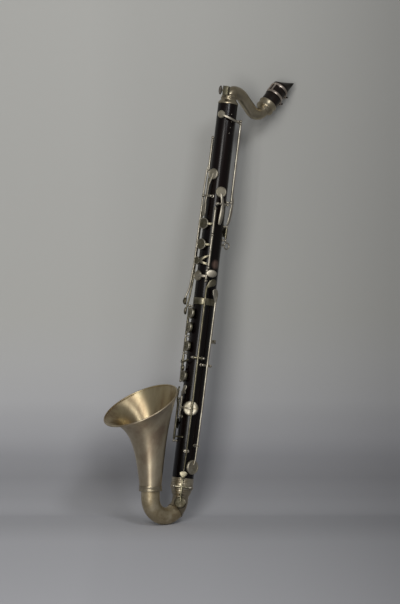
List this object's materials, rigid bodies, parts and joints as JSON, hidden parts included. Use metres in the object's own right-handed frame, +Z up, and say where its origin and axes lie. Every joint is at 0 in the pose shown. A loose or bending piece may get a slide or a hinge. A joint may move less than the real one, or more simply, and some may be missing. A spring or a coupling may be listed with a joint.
{
  "type": "alto clarinet",
  "caption": "Alto clarinet: black wooden body with plateau keys and levers, curved metal neck with mouthpiece, metal bow and upturned flared bell.",
  "frame": {"origin": "centre of the neck strap ring's eye, on the back of the upper joint", "axes": "+Z up along the wooden body, towards the neck; -Y towards the front, where the bell stands; +X to the player's left"},
  "size_m": [0.123, 0.2671, 0.7104],
  "materials": {
    "blackwood": "oiled, satin",
    "key_silver": "worn silver plate",
    "nickel_silver": "satin, with a brownish patina",
    "ebonite": "polished",
    "cork": "greased cork",
    "cane": "dry cane",
    "dark_steel": "tarnished"
  },
  "bodies": {
    "body": {"upper_joint": "blackwood", "lower_joint": "blackwood", "tenon_cork": "cork", "top_ferrule": "nickel_silver", "middle_ferrule": "nickel_silver", "bottom_ferrule": "nickel_silver", "neck": "nickel_silver", "mouthpiece": "ebonite", "reed": "cane", "ligature": "nickel_silver", "lyre_holder": "nickel_silver", "bow_elbow": "nickel_silver", "bow": "nickel_silver", "bell_ring": "nickel_silver", "bell": "nickel_silver", "strap_ring": "key_silver", "thumb_rest": "key_silver", "register_posts": "key_silver", "throat_g_sharp_posts": "key_silver", "throat_a_posts": "key_silver", "upper_trill_posts": "key_silver", "lower_trill_posts": "key_silver", "left_plateau_posts": "key_silver", "thumb_key_posts": "key_silver", "c_sharp_posts": "key_silver", "e_lever_posts": "key_silver", "bow_key_posts": "key_silver", "f_sharp_lever_posts": "key_silver", "e_lever_guide": "key_silver", "f_sharp_lever_guide": "key_silver", "right_plateau_posts": "key_silver", "f_key_posts": "key_silver", "a_flat_posts": "key_silver"},
    "register_key": {"register_key": "key_silver"},
    "throat_g_sharp_key": {"throat_g_sharp_key": "key_silver"},
    "throat_a_key": {"throat_a_key": "key_silver"},
    "upper_trill_key": {"upper_trill_key": "key_silver"},
    "lower_trill_key": {"lower_trill_key": "key_silver"},
    "left_plateau_1": {"left_plateau_1": "key_silver"},
    "left_plateau_2": {"left_plateau_2": "key_silver"},
    "left_plateau_3": {"left_plateau_3": "key_silver"},
    "thumb_key": {"thumb_key": "key_silver"},
    "c_sharp_key": {"c_sharp_key": "key_silver"},
    "e_lever": {"e_lever": "key_silver"},
    "bow_key": {"bow_key": "key_silver"},
    "f_sharp_lever": {"f_sharp_lever": "key_silver"},
    "right_plateau_1": {"right_plateau_1": "key_silver"},
    "right_plateau_2": {"right_plateau_2": "key_silver"},
    "right_plateau_3": {"right_plateau_3": "key_silver"},
    "vent_key": {"vent_key": "key_silver"},
    "f_key": {"f_key": "key_silver"},
    "a_flat_key": {"a_flat_key": "key_silver"},
    "ligature_screw_lower": {"ligature_screw_lower": "dark_steel"},
    "ligature_screw_upper": {"ligature_screw_upper": "dark_steel"},
    "lyre_screw": {"lyre_screw": "dark_steel"}
  },
  "joints": [
    {"name": "register_key_hinge", "type": "hinge", "parent": "body", "child": "register_key", "pos_m": [0.0177, -0.01527, 0.12905], "axis": [0, 0, -1], "range_deg": [-6, 0], "stiffness_Nm_per_rad": 0.01, "springref_deg": 34.38},
    {"name": "throat_g_sharp_key_hinge", "type": "hinge", "parent": "body", "child": "throat_g_sharp_key", "pos_m": [0.02107, -0.03361, 0.06061], "axis": [0.1392, 0.9903, 0], "range_deg": [0, 7.5], "stiffness_Nm_per_rad": 0.01, "springref_deg": -34.38},
    {"name": "throat_a_key_hinge", "type": "hinge", "parent": "body", "child": "throat_a_key", "pos_m": [0.00144, -0.0512, 0.0714], "axis": [0.9976, 0.0698, 0], "range_deg": [0, 4], "stiffness_Nm_per_rad": 0.01, "springref_deg": -34.38},
    {"name": "upper_trill_key_hinge", "type": "hinge", "parent": "body", "child": "upper_trill_key", "pos_m": [-0.01912, -0.03761, 0.13785], "axis": [0, 0, -1], "range_deg": [-9, 0], "stiffness_Nm_per_rad": 0.01, "springref_deg": 34.38},
    {"name": "lower_trill_key_hinge", "type": "hinge", "parent": "body", "child": "lower_trill_key", "pos_m": [-0.02022, -0.03422, 0.0807], "axis": [0, 0, -1], "range_deg": [-9, 0], "stiffness_Nm_per_rad": 0.01, "springref_deg": 34.38},
    {"name": "left_plateau_1_hinge", "type": "hinge", "parent": "body", "child": "left_plateau_1", "pos_m": [0.01659, -0.04361, 0.00675], "axis": [0, 0, -1], "range_deg": [0, 10], "stiffness_Nm_per_rad": 0.01, "springref_deg": -34.38},
    {"name": "left_plateau_2_hinge", "type": "hinge", "parent": "body", "child": "left_plateau_2", "pos_m": [0.01659, -0.04361, 0.00675], "axis": [0, 0, -1], "range_deg": [0, 10], "stiffness_Nm_per_rad": 0.01, "springref_deg": -34.38},
    {"name": "left_plateau_3_hinge", "type": "hinge", "parent": "body", "child": "left_plateau_3", "pos_m": [0.01659, -0.04361, 0.00675], "axis": [0, 0, -1], "range_deg": [0, 10], "stiffness_Nm_per_rad": 0.01, "springref_deg": -34.38},
    {"name": "thumb_key_hinge", "type": "hinge", "parent": "body", "child": "thumb_key", "pos_m": [0.01404, -0.01506, 0.0172], "axis": [0, 0, -1], "range_deg": [-10, 0], "stiffness_Nm_per_rad": 0.01, "springref_deg": 34.38},
    {"name": "c_sharp_key_hinge", "type": "hinge", "parent": "body", "child": "c_sharp_key", "pos_m": [0.01596, -0.04502, -0.0523], "axis": [0, 0, -1], "range_deg": [-9, 0], "stiffness_Nm_per_rad": 0.01, "springref_deg": 34.38},
    {"name": "e_lever_hinge", "type": "hinge", "parent": "body", "child": "e_lever", "pos_m": [0.01748, -0.04335, -0.1793], "axis": [0.5878, 0.809, 0], "range_deg": [-1, 0], "stiffness_Nm_per_rad": 0.01, "springref_deg": 34.38},
    {"name": "bow_key_hinge", "type": "hinge", "parent": "body", "child": "bow_key", "pos_m": [0.01686, -0.04383, -0.3787], "axis": [0.6157, 0.788, 0], "range_deg": [0, 11], "stiffness_Nm_per_rad": 0.01, "springref_deg": -34.38},
    {"name": "f_sharp_lever_hinge", "type": "hinge", "parent": "body", "child": "f_sharp_lever", "pos_m": [0.02139, -0.02764, -0.1893], "axis": [-0.1392, 0.9903, 0], "range_deg": [-1.6, 0], "stiffness_Nm_per_rad": 0.01, "springref_deg": 34.38},
    {"name": "right_plateau_1_hinge", "type": "hinge", "parent": "body", "child": "right_plateau_1", "pos_m": [-0.01388, -0.0472, -0.15825], "axis": [0, 0, -1], "range_deg": [-10, 0], "stiffness_Nm_per_rad": 0.01, "springref_deg": 34.38},
    {"name": "right_plateau_2_hinge", "type": "hinge", "parent": "body", "child": "right_plateau_2", "pos_m": [-0.01388, -0.0472, -0.15825], "axis": [0, 0, -1], "range_deg": [-10, 0], "stiffness_Nm_per_rad": 0.01, "springref_deg": 34.38},
    {"name": "right_plateau_3_hinge", "type": "hinge", "parent": "body", "child": "right_plateau_3", "pos_m": [-0.01388, -0.0472, -0.15825], "axis": [0, 0, -1], "range_deg": [-10, 0], "stiffness_Nm_per_rad": 0.01, "springref_deg": 34.38},
    {"name": "vent_key_hinge", "type": "hinge", "parent": "body", "child": "vent_key", "pos_m": [-0.01388, -0.0472, -0.15825], "axis": [0, 0, -1], "range_deg": [-10, 0], "stiffness_Nm_per_rad": 0.01, "springref_deg": 34.38},
    {"name": "f_key_hinge", "type": "hinge", "parent": "body", "child": "f_key", "pos_m": [0.00075, -0.05224, -0.2526], "axis": [0, 0, -1], "range_deg": [-9, 0], "stiffness_Nm_per_rad": 0.01, "springref_deg": 34.38},
    {"name": "a_flat_key_hinge", "type": "hinge", "parent": "body", "child": "a_flat_key", "pos_m": [-0.00879, -0.05038, -0.2769], "axis": [0, 0, -1], "range_deg": [-9, 0], "stiffness_Nm_per_rad": 0.01, "springref_deg": 34.38},
    {"name": "ligature_screw_lower_turn", "type": "hinge", "parent": "body", "child": "ligature_screw_lower", "pos_m": [0, 0.07236, 0.23497], "axis": [1, 0, 0], "continuous": true},
    {"name": "ligature_screw_upper_turn", "type": "hinge", "parent": "body", "child": "ligature_screw_upper", "pos_m": [0, 0.08089, 0.24671], "axis": [1, 0, 0], "continuous": true},
    {"name": "lyre_screw_turn", "type": "hinge", "parent": "body", "child": "lyre_screw", "pos_m": [0.00785, -0.04517, 0.23651], "axis": [-0.6157, -0.788, 0], "continuous": true}
  ],
  "couplings": [
    {"joint": "bow_key_hinge", "follows": "e_lever_hinge", "ratio": -11}
  ]
}
